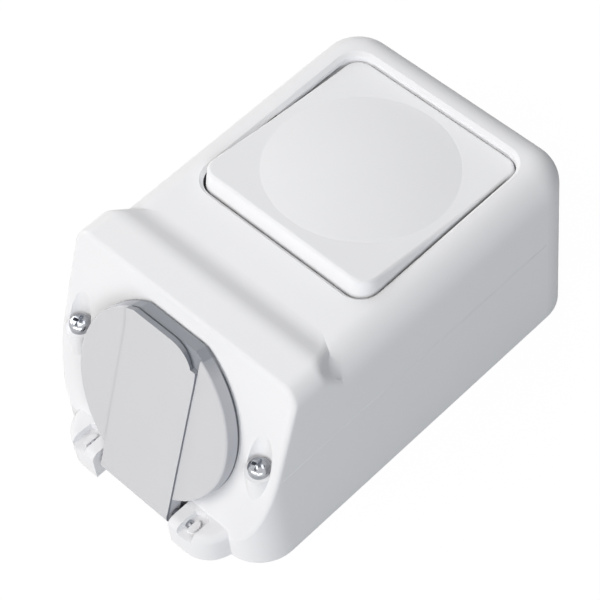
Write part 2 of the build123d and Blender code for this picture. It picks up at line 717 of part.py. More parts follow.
def switch_terminal_screws():
    """Terminal screws of the feed and the load."""
    screw = pan_screw(TERMINAL_HEAD_RADIUS, TERMINAL_HEAD_HEIGHT, TERMINAL_SCREW_RADIUS, SEESAW_SHEET)
    return [place * Pos(0, 0, SEESAW_SHEET) * screw for place in (feed_terminal(), load_terminal())]


def moving_contact():
    """See-saw strip with a contact button, tipped the opposite way to the rocker."""
    strip = Box(SEESAW_WIDTH, SEESAW_LENGTH, SEESAW_SHEET, align=UPRIGHT)
    button = Pos(0, -BUTTON_ARM, 0) * cylinder_between(BUTTON_RADIUS, -BUTTON_HEIGHT, SEESAW_SHEET)
    return SEESAW * (strip + button)


# Rocker, drawn level about its pivot and then tipped so that its far end is pressed in

def dome(base):
    """Shallow dome whose curves make it meet the hollowed top along a circle."""
    round_x = DOME_RADIUS ** 2 / (2 * DOME_HEIGHT)
    round_y = 1 / (1 / round_x - 1 / ROCKER_HOLLOW)
    reach = DOME_RADIUS + 1
    top = base + DOME_HEIGHT
    shoulder = top - reach ** 2 / (2 * round_x)
    axis_z = top - round_y
    arc = ThreePointArc((-reach, shoulder), (0, top), (reach, shoulder))
    rest = Polyline((reach, shoulder), (reach, axis_z), (-reach, axis_z), (-reach, shoulder))
    section = Plane.XZ * make_face([arc, rest])
    barrel = revolve(section, Axis((0, 0, axis_z), (1, 0, 0)), 360)
    return barrel & cylinder_between(reach, base - 1, top + 1)


def rocker():
    """White cap with a hollowed top, a shallow dome and a drafted skirt."""
    bottom = PIVOT_DEPTH - ROCKER_SKIRT
    crown = PIVOT_DEPTH + ROCKER_RISE
    skirt = Pos(0, 0, bottom) * RectangleRounded(ROCKER_WIDTH, ROCKER_WIDTH, ROCKER_RADIUS)
    cap = extrude(skirt, crown - bottom, taper=ROCKER_DRAFT)
    half = ROCKER_WIDTH / 2
    sag = half * half / (2 * ROCKER_HOLLOW)
    hollow = Pos(0, 0, crown - sag + ROCKER_HOLLOW) * ACROSS * Cylinder(ROCKER_HOLLOW, 2 * ROCKER_WIDTH)
    cap = cap - hollow
    rim = cap.edges().filter_by(lambda edge: edge.bounding_box().min.Z > bottom + ROCKER_SKIRT)
    cap = fillet(rim, ROCKER_EDGE)
    cap += dome(crown - sag)
    room = ROCKER_WIDTH - 2 * ROCKER_SKIN
    inside = Pos(0, 0, bottom - 1) * RectangleRounded(room, room, ROCKER_RADIUS - ROCKER_SKIN)
    return ROCKED * (cap - extrude(inside, crown - sag - ROCKER_SKIN - bottom + 1))


def cradle_seat():
    """Height of the rocker's underside above the pivot."""
    half = ROCKER_WIDTH / 2
    return PIVOT_DEPTH + ROCKER_RISE - half * half / (2 * ROCKER_HOLLOW) - ROCKER_SKIN


def rocker_cradle():
    """Carrier under the rocker with its trunnions and the plunger guide."""
    seat = cradle_seat()
    plate = Pos(0, 0, seat) * Box(CRADLE_SIZE, CRADLE_SIZE, CRADLE_PLATE, align=HANGING)
    hub = ACROSS * Cylinder(HUB_RADIUS, 2 * HUB_HALF)
    axle = ACROSS * Cylinder(TRUNNION_RADIUS, 2 * (HUB_HALF + TRUNNION_LENGTH))
    guide = cylinder_between(GUIDE_RADIUS, -GUIDE_LENGTH, 0)
    bore = cylinder_between(GUIDE_BORE, -GUIDE_LENGTH, -TRUNNION_RADIUS)
    return ROCKED * (plate + hub + axle + guide - bore)


def plunger():
    """Sprung pin that slides over the see-saw."""
    radius = GUIDE_BORE - PLUNGER_CLEARANCE
    pin = cylinder_between(radius, -PLUNGER_REACH, -PLUNGER_REACH + PLUNGER_LENGTH)
    return ROCKED * fillet(pin.edges().group_by(Axis.Z)[0], 0.8 * radius)


def plunger_spring():
    """Coil spring between the plunger and the top of its guide."""
    low = -PLUNGER_REACH + PLUNGER_LENGTH + PLUNGER_WIRE / 2
    high = -TRUNNION_RADIUS - PLUNGER_WIRE / 2
    radius = GUIDE_BORE - PLUNGER_CLEARANCE - PLUNGER_WIRE / 2
    return ROCKED * Pos(0, 0, low) * coil(PLUNGER_WIRE, radius, PLUNGER_TURNS, high - low)


# Lid

def socket_lid():
    """Grey disc with a raised strip, a finger lip and the hinge barrel."""
    disc = cylinder_between(LID_RADIUS, LID_LIFT, LID_FRONT)
    disc = fillet(disc.edges().group_by(Axis.Z)[-1], LID_EDGE)
    above = Pos(0, LID_CHORD, 0) * Box(
        3 * LID_RADIUS, LID_RADIUS, 3 * LID_FRONT, align=(Align.CENTER, Align.MIN, Align.CENTER)
    )
    hollow = cylinder_between(SEAL_RADIUS - 1.3 * SEAL_WIDTH, 0, LID_FRONT - LID_SKIN)
    groove = ring(
        SEAL_RADIUS + SEAL_WIDTH / 2 + 0.05, SEAL_RADIUS - SEAL_WIDTH / 2 - 0.05, 0, SEAL_SEAT
    )
    disc = disc - above - hollow - groove
    lip_root = LIP_END - LIP_REACH
    slit_root = LIP_END - SLIT_REACH
    lip_under = LIP_FRONT - LIP_THICKNESS
    sweep_up = TangentArc((lip_root, STRIP_FRONT), (LIP_END, LIP_FRONT), tangent=(1, 0))
    rest = Polyline(
        (LIP_END, LIP_FRONT),
        (LIP_END, lip_under),
        (slit_root, lip_under),
        (slit_root, LID_FRONT - LID_SKIN / 2),
        (-SEAL_RADIUS, LID_FRONT - LID_SKIN / 2),
        (-LID_RADIUS, LID_LIFT),
        (-HINGE_DROP, LID_LIFT),
        (-HINGE_DROP, STRIP_FRONT),
        (lip_root, STRIP_FRONT),
    )
    profile = make_face([sweep_up, rest])
    strip = extrude(SECTION * profile, STRIP_WIDTH / 2, both=True)
    lip_plan = RectangleRounded(LIP_WIDTH, 2 * LIP_END, LIP_CORNER)
    reach = FACE * (
        extrude(lip_plan, 2 * LIP_FRONT)
        + Pos(0, LIP_END - LIP_NOTCH, 0) * Box(
            STRIP_WIDTH,
            2 * (HINGE_DROP + BARREL_RADIUS),
            4 * LIP_FRONT,
            align=(Align.CENTER, Align.MAX, Align.CENTER),
        )
    )
    barrel = Pos(PIN_CENTRE) * ACROSS * Cylinder(BARREL_RADIUS, STRIP_WIDTH)
    slit = FACE * Pos(0, LIP_END, lip_under - SLIT_HEIGHT) * Box(
        STRIP_WIDTH, SLIT_REACH, LIP_FRONT, align=(Align.CENTER, Align.MAX, Align.MIN)
    )
    coil_room = Pos(PIN_CENTRE) * ACROSS * Cylinder(BARREL_RADIUS - 0.6, spring_length() + 0.8)
    bore = Pos(PIN_CENTRE) * ACROSS * Cylinder(PIN_RADIUS + PIN_CLEARANCE, PIN_LENGTH)
    return FACE * disc - slit + (strip & reach) + barrel - bore - coil_room


def lid_seal():
    """Seal ring in the groove of the lid."""
    return FACE * ring(
        SEAL_RADIUS + SEAL_WIDTH / 2, SEAL_RADIUS - SEAL_WIDTH / 2, SEAL_GAP, SEAL_SEAT
    )


def hinge_pin():
    """Steel pin through the ears and the lid barrel."""
    return Pos(PIN_CENTRE) * ACROSS * Cylinder(PIN_RADIUS, PIN_LENGTH)


def spring_length():
    """Length of the lid spring with its turns lying close together."""
    return LID_SPRING_TURNS * LID_SPRING_WIRE * 1.3


def lid_spring():
    """Torsion spring on the hinge pin that closes the lid."""
    length = spring_length()
    start = Pos(PIN_CENTRE) * ACROSS * Pos(0, 0, -length / 2)
    return start * coil(LID_SPRING_WIRE, LID_SPRING_RADIUS, LID_SPRING_TURNS, length)


def all_nodes():
    """Every node of the assembly by name."""
    left, right = contact_places()
    return {
        "front_cover": front_cover(),
        "base_plate": base_plate(),
        "cover_gasket": cover_gasket(),
        "cover_screws": cover_screws(),
        "cable_grommet": cable_grommet(),
        "well_sleeve": well_sleeve(),
        "contact_block": contact_block(),
        "live_contact": plug_contact(left),
        "neutral_contact": plug_contact(right),
        "earth_strap": earth_strap(),
        "socket_terminal_screws": socket_terminal_screws(),
        "switch_base": switch_base(),
        "switch_screws": switch_screws(),
        "feed_contact": feed_contact(),
        "load_contact": load_contact(),
        "switch_terminal_screws": switch_terminal_screws(),
        "moving_contact": moving_contact(),
        "rocker": rocker(),
        "rocker_cradle": rocker_cradle(),
        "plunger": plunger(),
        "plunger_spring": plunger_spring(),
        "socket_lid": socket_lid(),
        "lid_seal": lid_seal(),
        "hinge_pin": hinge_pin(),
        "lid_spring": lid_spring(),
    }


if __name__ == "__main__":
    os.makedirs("parts", exist_ok=True)
    for name, shape in all_nodes().items():
        solid = Compound(children=shape) if isinstance(shape, list) else shape
        export_step(solid, f"parts/{name}.step")
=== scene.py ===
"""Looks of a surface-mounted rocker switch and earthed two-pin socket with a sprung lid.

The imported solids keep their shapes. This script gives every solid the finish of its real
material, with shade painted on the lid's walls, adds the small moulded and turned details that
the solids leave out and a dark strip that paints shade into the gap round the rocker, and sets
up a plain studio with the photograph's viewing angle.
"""
from __future__ import annotations

import logging
import math
from dataclasses import dataclass, field
from enum import Enum
from typing import Any

import bmesh
import bpy
from mathutils import Matrix, Vector


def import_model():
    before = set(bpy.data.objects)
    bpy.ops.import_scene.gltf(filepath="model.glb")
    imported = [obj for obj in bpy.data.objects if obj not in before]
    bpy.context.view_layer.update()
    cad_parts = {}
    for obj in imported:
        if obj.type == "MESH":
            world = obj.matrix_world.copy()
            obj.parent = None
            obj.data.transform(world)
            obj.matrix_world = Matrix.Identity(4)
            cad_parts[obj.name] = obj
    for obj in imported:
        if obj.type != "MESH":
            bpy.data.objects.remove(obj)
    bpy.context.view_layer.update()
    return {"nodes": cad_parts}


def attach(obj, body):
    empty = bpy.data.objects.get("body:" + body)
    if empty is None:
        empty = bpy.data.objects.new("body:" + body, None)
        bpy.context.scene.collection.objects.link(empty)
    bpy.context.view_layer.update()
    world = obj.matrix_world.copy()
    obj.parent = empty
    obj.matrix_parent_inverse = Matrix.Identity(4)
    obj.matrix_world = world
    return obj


LOG = logging.getLogger("switch_and_socket")
MM = 0.001

# Points closer than this are merged, edges that turn more than this stay sharp, and a face whose
# normal rises more than this is flat on top
WELD = 0.001 * MM
SHARP = math.radians(35)
FLAT = 0.99

# The socket face: its tilt, the middle of the plug well on it, and its own axes
FACE_TILT = math.radians(21.2)
WELL_CENTRE = Vector((0.0, -46.4182, 30.0587)) * MM
UP_SLOPE = Vector((0.0, math.sin(FACE_TILT), math.cos(FACE_TILT)))
OUT_OF_FACE = Vector((0.0, -math.cos(FACE_TILT), math.sin(FACE_TILT)))

# Where the rocker tilts, half the side of its opening, and the radius of the opening's corners with
# the steps that each is drawn in
PIVOT = Vector((0.0, 19.3, 45.5)) * MM
OPENING_HALF = 27.5 * MM
OPENING_TURN = 5.5 * MM
TURN_STEPS = 10


def face_frame(height: float) -> Matrix:
    """Frame over the middle of the plug well: x across, y up the slope, z out of the face.

    Args:
        height: how far the frame stands out of the face.

    Returns:
        The matrix from that frame to the shared one.
    """
    turn = Matrix.Rotation(math.radians(90) - FACE_TILT, 4, "X")
    return Matrix.Translation(WELL_CENTRE) @ turn @ Matrix.Translation((0, 0, height))


def linear(hex_colour: str) -> tuple[float, float, float, float]:
    """Turn an sRGB hex colour into linear light.

    Args:
        hex_colour: six hex digits with a leading hash sign.

    Returns:
        Red, green, blue and alpha in linear light.
    """
    channels = [int(hex_colour[i:i + 2], 16) / 255 for i in (1, 3, 5)]
    red, green, blue = (
        c / 12.92 if c <= 0.04045 else ((c + 0.055) / 1.055) ** 2.4 for c in channels
    )
    return red, green, blue, 1.0


def add_node(
    tree: bpy.types.NodeTree,
    kind: str,
    settings: dict[str, Any] | None = None,
    inputs: dict[str | int, Any] | None = None,
) -> bpy.types.Node:
    """Add a shader node with its settings and links.

    Args:
        tree: node tree that takes the node.
        kind: Blender's name of the node type.
        settings: properties to set on the node.
        inputs: values for its input sockets; an output socket is linked instead.

    Returns:
        The new node.
    """
    node = tree.nodes.new(kind)
    for name, value in (settings or {}).items():
        setattr(node, name, value)
    for name, value in (inputs or {}).items():
        if isinstance(value, bpy.types.NodeSocket):
            tree.links.new(value, node.inputs[name])
        else:
            node.inputs[name].default_value = value
    return node


def draw_bar(
    start: Vector, thickness: float, height: float, legs: list[Vector], centres: list[Vector]
) -> bmesh.types.BMesh:
    """Draw an upright bar along the walls of the rocker opening and round its corners.

    Args:
        start: middle of the bar's first end, from the rocker's pivot.
        thickness: its size across the wall.
        height: its size up the wall.
        legs: the straight runs.
        centres: middle of each quarter turn to the right, one between two legs.

    Returns:
        The closed bar, in the shared frame.
    """
    mesh = bmesh.new()
    section = (
        Matrix.Translation(start)
        @ Matrix.Rotation(math.pi / 2, 4, "X")
        @ Matrix.Diagonal((thickness, height, 1.0, 1.0))
    )
    made = bmesh.ops.create_grid(mesh, x_segments=1, y_segments=1, size=0.5, matrix=section)
    end = list({face for vert in made["verts"] for face in vert.link_faces})
    for number, leg in enumerate(legs):
        drawn = bmesh.ops.extrude_face_region(mesh, geom=end)["geom"]
        verts = [item for item in drawn if isinstance(item, bmesh.types.BMVert)]
        bmesh.ops.translate(mesh, verts=verts, vec=leg)
        end = [item for item in drawn if isinstance(item, bmesh.types.BMFace)]
        if number < len(centres):
            turned = bmesh.ops.spin(
                mesh, geom=end, cent=centres[number], axis=(0, 0, 1), angle=-math.pi / 2,
                steps=TURN_STEPS,
            )
            end = [item for item in turned["geom_last"] if isinstance(item, bmesh.types.BMFace)]
    bmesh.ops.remove_doubles(mesh, verts=mesh.verts, dist=WELD)
    inside = [
        face for face in mesh.faces if all(len(edge.link_faces) > 2 for edge in face.edges)
    ]
    bmesh.ops.delete(mesh, geom=inside, context="FACES_ONLY")
    bmesh.ops.recalc_face_normals(mesh, faces=mesh.faces)
    bmesh.ops.transform(mesh, matrix=Matrix.Translation(PIVOT), verts=mesh.verts)
    return mesh


class Grain(Enum):
    """How the wall of the mould was finished, which the plastic copies."""

    POLISHED = "polished"
    SATIN = "satin"
    SPARKED = "sparked"


# Real mould grain is about 0.05 to 0.1 mm across, too fine to show, so it is drawn coarser here;
# the slow waviness of a polished wall is drawn as it is
GRAIN_SIZE_MM: dict[Grain, float] = {
    Grain.POLISHED: 6.0,
    Grain.SATIN: 0.9,
    Grain.SPARKED: 0.55,
}
GRAIN_DEPTH_MM: dict[Grain, float] = {
    Grain.POLISHED: 0.006,
    Grain.SATIN: 0.004,
    Grain.SPARKED: 0.012,
}


@dataclass(frozen=True)
class MouldedPlastic:
    """Injection-moulded plastic: even colour, soft gloss and the grain of its mould."""

    name: str
    colour: str
    shade: str
    grain: Grain
    roughness: float
    ior: float = 1.53
    gloss_level: float = 0.5
    mattness: float = 0.6
    drift_mm: float = 16.0
    drift_detail: float = 2.0
    gloss_drift: float = 0.03
    grain_detail: float = 3.0
    grain_strength: float = 0.5

    def material(self) -> bpy.types.Material:
        """Build the material.

        Returns:
            A material with faint colour drift, uneven gloss and mould grain.
        """
        material = bpy.data.materials.new(self.name)
        material.use_nodes = True
        tree = material.node_tree
        tree.nodes.clear()
        place = add_node(tree, "ShaderNodeTexCoord").outputs["Object"]
        drift = add_node(tree, "ShaderNodeTexNoise", None, {
            "Vector": place, "Scale": 1 / (self.drift_mm * MM), "Detail": self.drift_detail,
        })
        colour = add_node(tree, "ShaderNodeMix", {"data_type": "RGBA"}, {
            0: drift.outputs["Fac"], 6: linear(self.shade), 7: linear(self.colour),
        })
        tone = self.tone(tree, colour.outputs[2])
        gloss = add_node(tree, "ShaderNodeMapRange", None, {
            0: drift.outputs["Fac"],
            3: self.roughness - self.gloss_drift,
            4: self.roughness + self.gloss_drift,
        })
        grain = add_node(tree, "ShaderNodeTexNoise", None, {
            "Vector": place,
            "Scale": 1 / (GRAIN_SIZE_MM[self.grain] * MM),
            "Detail": self.grain_detail,
        })
        bump = add_node(tree, "ShaderNodeBump", None, {
            "Height": grain.outputs["Fac"],
            "Strength": self.grain_strength,
            "Distance": GRAIN_DEPTH_MM[self.grain] * MM,
        })
        shader = add_node(tree, "ShaderNodeBsdfPrincipled", None, {
            "Base Color": tone,
            "Roughness": gloss.outputs[0],
            "IOR": self.ior,
            "Diffuse Roughness": self.mattness,
            "Specular IOR Level": self.gloss_level,
            "Normal": bump.outputs[0],
        })
        add_node(tree, "ShaderNodeOutputMaterial", None, {"Surface": shader.outputs[0]})
        return material

    def tone(self, tree: bpy.types.NodeTree, colour: bpy.types.NodeSocket) -> bpy.types.NodeSocket:
        """Change the colour where shade is painted on the plastic; plain plastic keeps it.

        Args:
            tree: node tree of the material.
            colour: the plain colour.

        Returns:
            The colour to use.
        """
        return colour


@dataclass(frozen=True)
class ShadePaintedPlastic(MouldedPlastic):
    """Moulded plastic of the lid, with shade painted on its walls, darkest under the lip."""

    # How much colour the painted shade leaves on walls, under the lip, at the foot and on the strip
    wall_painted_shade: str = "#ECEDF0"
    grip_painted_shade: str = "#BCC0C5"
    foot_painted_shadow: str = "#6A6E76"
    strip_painted_shade: str = "#B0B3B9"
    # How far a face leans, as cosines, before it counts as a wall or as one that looks up the slope
    wall_lean: tuple[float, float] = (0.8, 0.4)
    upward_lean: tuple[float, float] = (0.75, 0.95)
    # Where each painted shade lies, from the middle of the plug well, and how softly it ends
    grip_from: float = 18.0 * MM
    grip_below: float = 4.4 * MM
    grip_half_width: float = 11.8 * MM
    foot_line: float = 1.15 * MM
    strip_from: float = 4.6 * MM
    blur: float = 0.3 * MM

    def share_along(
        self,
        tree: bpy.types.NodeTree,
        what: bpy.types.NodeSocket,
        direction: Vector,
        limits: tuple[float, float],
        both_ways: bool = False,
    ) -> bpy.types.NodeSocket:
        """Turn a place or a facing into a share, by its length along a direction.

        Args:
            tree: node tree of the material.
            what: the place or the facing.
            direction: a unit vector.
            limits: the lengths at which the share is nought and one.
            both_ways: whether the length counts the same on both sides of the middle.

        Returns:
            The share, from nought to one.
        """
        length = add_node(tree, "ShaderNodeVectorMath", {"operation": "DOT_PRODUCT"}, {
            0: what, 1: tuple(direction),
        }).outputs["Value"]
        if both_ways:
            positive = add_node(tree, "ShaderNodeMath", {"operation": "ABSOLUTE"}, {0: length})
            length = positive.outputs[0]
        share = add_node(tree, "ShaderNodeMapRange", None, {0: length, 1: limits[0], 2: limits[1]})
        return share.outputs[0]

    def where_all_meet(
        self, tree: bpy.types.NodeTree, *shares: bpy.types.NodeSocket
    ) -> bpy.types.NodeSocket:
        """Find where several shares meet.

        Args:
            tree: node tree of the material.
            shares: two or more shares.

        Returns:
            Their product.
        """
        meeting, *others = shares
        for share in others:
            meeting = add_node(tree, "ShaderNodeMath", {"operation": "MULTIPLY"}, {
                0: meeting, 1: share,
            }).outputs[0]
        return meeting

    def tone(self, tree: bpy.types.NodeTree, colour: bpy.types.NodeSocket) -> bpy.types.NodeSocket:
        """Paint shade on the lid's walls, its foot, its strip's flanks and the hollow under its
        lip.

        Args:
            tree: node tree of the material.
            colour: the plain colour.

        Returns:
            The colour with the painted shade.
        """
        source = add_node(tree, "ShaderNodeTexCoord").outputs
        facing, place = source["Normal"], source["Object"]
        middle = WELL_CENTRE.dot(OUT_OF_FACE)
        front = middle + self.grip_below
        foot = middle + self.foot_line
        flank = middle + self.strip_from
        start = WELL_CENTRE.dot(UP_SLOPE) + self.grip_from
        blur = self.blur
        sides = (self.grip_half_width + blur, self.grip_half_width)
        wall = self.share_along(tree, facing, OUT_OF_FACE, self.wall_lean, both_ways=True)
        upward = self.share_along(tree, facing, UP_SLOPE, self.upward_lean)
        high = self.share_along(tree, place, UP_SLOPE, (start - blur, start))
        deep = self.share_along(tree, place, OUT_OF_FACE, (front, front - blur))
        low = self.share_along(tree, place, OUT_OF_FACE, (foot + blur, foot))
        tall = self.share_along(tree, place, OUT_OF_FACE, (flank, flank + blur / 2))
        near = self.share_along(tree, place, Vector((1.0, 0.0, 0.0)), sides, both_ways=True)
        under = self.where_all_meet(tree, high, deep, near)
        larger = {"operation": "MAXIMUM"}
        grip = add_node(tree, "ShaderNodeMath", larger, {0: upward, 1: under}).outputs[0]
        shaded = add_node(tree, "ShaderNodeMath", larger, {0: wall, 1: under}).outputs[0]
        edge = add_node(tree, "ShaderNodeMath", {"operation": "SUBTRACT", "use_clamp": True}, {
            0: wall, 1: upward,
        }).outputs[0]
        wall_or_grip = add_node(tree, "ShaderNodeMix", {"data_type": "RGBA"}, {
            0: grip, 6: linear(self.wall_painted_shade), 7: linear(self.grip_painted_shade),
        }).outputs[2]
        # Painted shade on the walls and under the lip, a painted shadow line at the foot, painted
        # shade on the strip's flanks
        marks = (
            (shaded, wall_or_grip),
            (self.where_all_meet(tree, low, edge), linear(self.foot_painted_shadow)),
            (self.where_all_meet(tree, tall, near, edge), linear(self.strip_painted_shade)),
        )
        darken = {"data_type": "RGBA", "blend_type": "MULTIPLY"}
        for share, painted_tone in marks:
            mark = add_node(tree, "ShaderNodeMix", darken, {0: share, 6: colour, 7: painted_tone})
            colour = mark.outputs[2]
        return colour


@dataclass(frozen=True)
class Metal:
    """Bare or plated metal with fine marks from rolling, drawing or tumbling."""

    name: str
    colour: str
    shade: str
    roughness: float
    # Real marks are finer than 0.1 mm, too fine to show, so they are drawn coarser
    mark_mm: float = 0.7
    stretch: tuple[float, float, float] = (1.0, 1.0, 1.0)
    mark_detail: float = 4.0
    mark_strength: float = 0.4
    mark_depth_mm: float = 0.004
    gloss_drift: float = 0.07

    def material(self) -> bpy.types.Material:
        """Build the material.

        Returns:
            A metallic material whose gloss and tone vary along its marks.
        """
        material = bpy.data.materials.new(self.name)
        material.use_nodes = True
        tree = material.node_tree
        tree.nodes.clear()
        place = add_node(tree, "ShaderNodeTexCoord").outputs["Object"]
        turned = add_node(tree, "ShaderNodeMapping", None, {
            "Vector": place, "Scale": self.stretch,
        })
        marks = add_node(tree, "ShaderNodeTexNoise", None, {
            "Vector": turned.outputs[0],
            "Scale": 1 / (self.mark_mm * MM),
            "Detail": self.mark_detail,
        })
        colour = add_node(tree, "ShaderNodeMix", {"data_type": "RGBA"}, {
            0: marks.outputs["Fac"], 6: linear(self.shade), 7: linear(self.colour),
        })
        gloss = add_node(tree, "ShaderNodeMapRange", None, {
            0: marks.outputs["Fac"],
            3: self.roughness - self.gloss_drift,
            4: self.roughness + self.gloss_drift,
        })
        bump = add_node(tree, "ShaderNodeBump", None, {
            "Height": marks.outputs["Fac"],
            "Strength": self.mark_strength,
            "Distance": self.mark_depth_mm * MM,
        })
        shader = add_node(tree, "ShaderNodeBsdfPrincipled", None, {
            "Base Color": colour.outputs[2],
            "Metallic": 1.0,
            "Roughness": gloss.outputs[0],
            "Normal": bump.outputs[0],
        })
        add_node(tree, "ShaderNodeOutputMaterial", None, {"Surface": shader.outputs[0]})
        return material


Finish = MouldedPlastic | Metal

# White ABS from a fine satin mould: an even, slightly cool white with soft broad highlights
COVER_ABS = MouldedPlastic(
    "Satin moulded ABS, white", "#EEEEEF", "#ECECEE", Grain.SATIN, 0.55, 1.5, 0.2
)
# The rocker is moulded of the same white and handled more, so it is a shade smoother
ROCKER_ABS = MouldedPlastic(
    "Smooth moulded ABS, white", "#EEEEEF", "#ECECEE", Grain.SATIN, 0.5, 1.5, 0.25
)
# Light grey polypropylene from a spark-eroded mould: matt, finely stippled, with painted shade on
# its walls
LID_PP = ShadePaintedPlastic(
    "Spark-grained polypropylene, light grey", "#D4D4D6", "#D0D0D3", Grain.SPARKED, 0.6, 1.49, 0.25
)
# Grey polycarbonate of the wall base, plain and a little glossy
BASE_PC = MouldedPlastic("Moulded polycarbonate, grey", "#C9CACB", "#C3C4C6", Grain.POLISHED, 0.4)
# Pale urea resin of the inner insulators, hard and slightly glossy
UREA = MouldedPlastic("Moulded urea resin, ivory white", "#E2E0D8", "#DCD9D0", Grain.POLISHED, 0.35)
# Dark acetal of the sliding plunger and the pin shutters, waxy
ACETAL = MouldedPlastic(
    "Moulded acetal, dark grey", "#5B5C5F", "#525356", Grain.POLISHED, 0.36, 1.48
)
# Black synthetic rubber of the seals, dull with a fine bloom
RUBBER = MouldedPlastic(
    "Moulded EPDM rubber, black", "#2B2B2C", "#242425", Grain.SPARKED, 0.7, 1.52
)
# Zinc-plated steel: bright, bluish, with soft tumbling marks
ZINC_STEEL = Metal("Bright zinc-plated steel", "#BFC1C5", "#A9ABB0", 0.18)
# Rolled brass strip: yellow, with marks along the strip
BRASS = Metal("Rolled brass strip", "#D9B45C", "#C79F49", 0.3, 0.5, (1.0, 0.15, 1.0))


@dataclass
class SubAssembly:
    """A group of solids and added pieces that ride on one body."""

    title: str = ""
    body: str = ""
    finishes: dict[str, Finish] = field(default_factory=dict)

    def finish(self, target: bpy.types.Object, finish: Finish) -> None:
        """Give an object its material.

        Args:
            target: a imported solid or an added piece.
            finish: what it is made of.
        """
        if finish.name not in bpy.data.materials:
            finish.material()
        target.data.materials.clear()
        target.data.materials.append(bpy.data.materials[finish.name])

    def dress(self, nodes: dict[str, bpy.types.Object]) -> None:
        """Give every solid of the group its material.

        Args:
            nodes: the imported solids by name.
        """
        for node, finish in self.finishes.items():
            self.finish(nodes[node], finish)
            LOG.info("%s: %s in %s", self.title, node, finish.name)

    def add(self, name: str, mesh: bmesh.types.BMesh, finish: Finish, slot: str) -> None:
        """Turn a finished bmesh into a piece that rides with the group.

        Args:
            name: name of the piece.
            mesh: its shape, in metres in the shared frame; it is freed here.
            finish: what it is made of.
            slot: not used.
        """
        for face in mesh.faces:
            face.smooth = True
        data = bpy.data.meshes.new(name)
        mesh.to_mesh(data)
        mesh.free()
        data.set_sharp_from_angle(angle=SHARP)
        piece = bpy.data.objects.new(name, data)
        bpy.context.scene.collection.objects.link(piece)
        self.finish(piece, finish)
        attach(piece, self.body)
        LOG.info("%s: made %s", self.title, name)

    def build(self) -> None:
        """Make the group's added pieces; a group of solids alone has none."""


